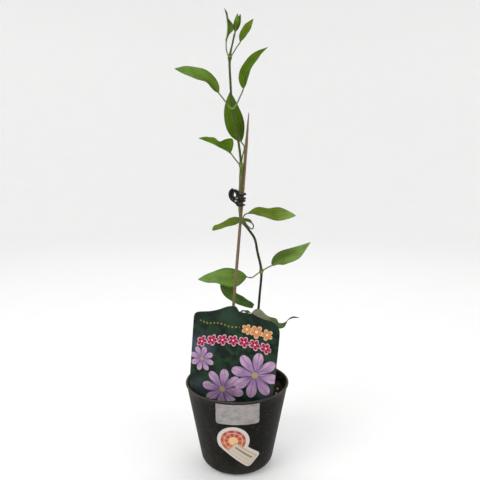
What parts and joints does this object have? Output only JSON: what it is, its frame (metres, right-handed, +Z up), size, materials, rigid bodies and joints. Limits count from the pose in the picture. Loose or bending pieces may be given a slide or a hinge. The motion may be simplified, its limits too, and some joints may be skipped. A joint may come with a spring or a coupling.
{
  "type": "potted clematis",
  "caption": "Young clematis vine tied to a cane in a tapered round nursery pot of soil, with a picture card and paper stickers.",
  "frame": {"origin": "centre of the pot's flat base, on the surface that it stands on", "axes": "+Z up, -Y towards the picture card and the stickers, +X to the right seen from there"},
  "size_m": [0.1078, 0.0896, 0.3833],
  "materials": {
    "pot": "satin",
    "soil": "matte",
    "cane": "matte",
    "stem": "satin",
    "tie": "gloss",
    "leaf": "satin",
    "young_leaf": "satin",
    "card": "satin",
    "paper": "matte",
    "round_paper": "satin"
  },
  "bodies": {
    "root": {"pot": "pot", "soil": "soil", "cane": "cane", "stem": "stem", "wire_tie": "tie", "leaf_0_left": "leaf", "leaf_0_right": "leaf", "leaf_1_left": "leaf", "leaf_1_right": "leaf", "leaf_2_left": "leaf", "leaf_2_right": "leaf", "leaf_3_left": "leaf", "leaf_3_right": "leaf", "leaf_4_left": "leaf", "leaf_4_right": "leaf", "leaf_5_left": "young_leaf", "leaf_5_right": "young_leaf", "shoot_tip": "young_leaf", "picture_card": "card", "paper_sticker": "paper", "round_sticker": "round_paper"}
  },
  "joints": []
}
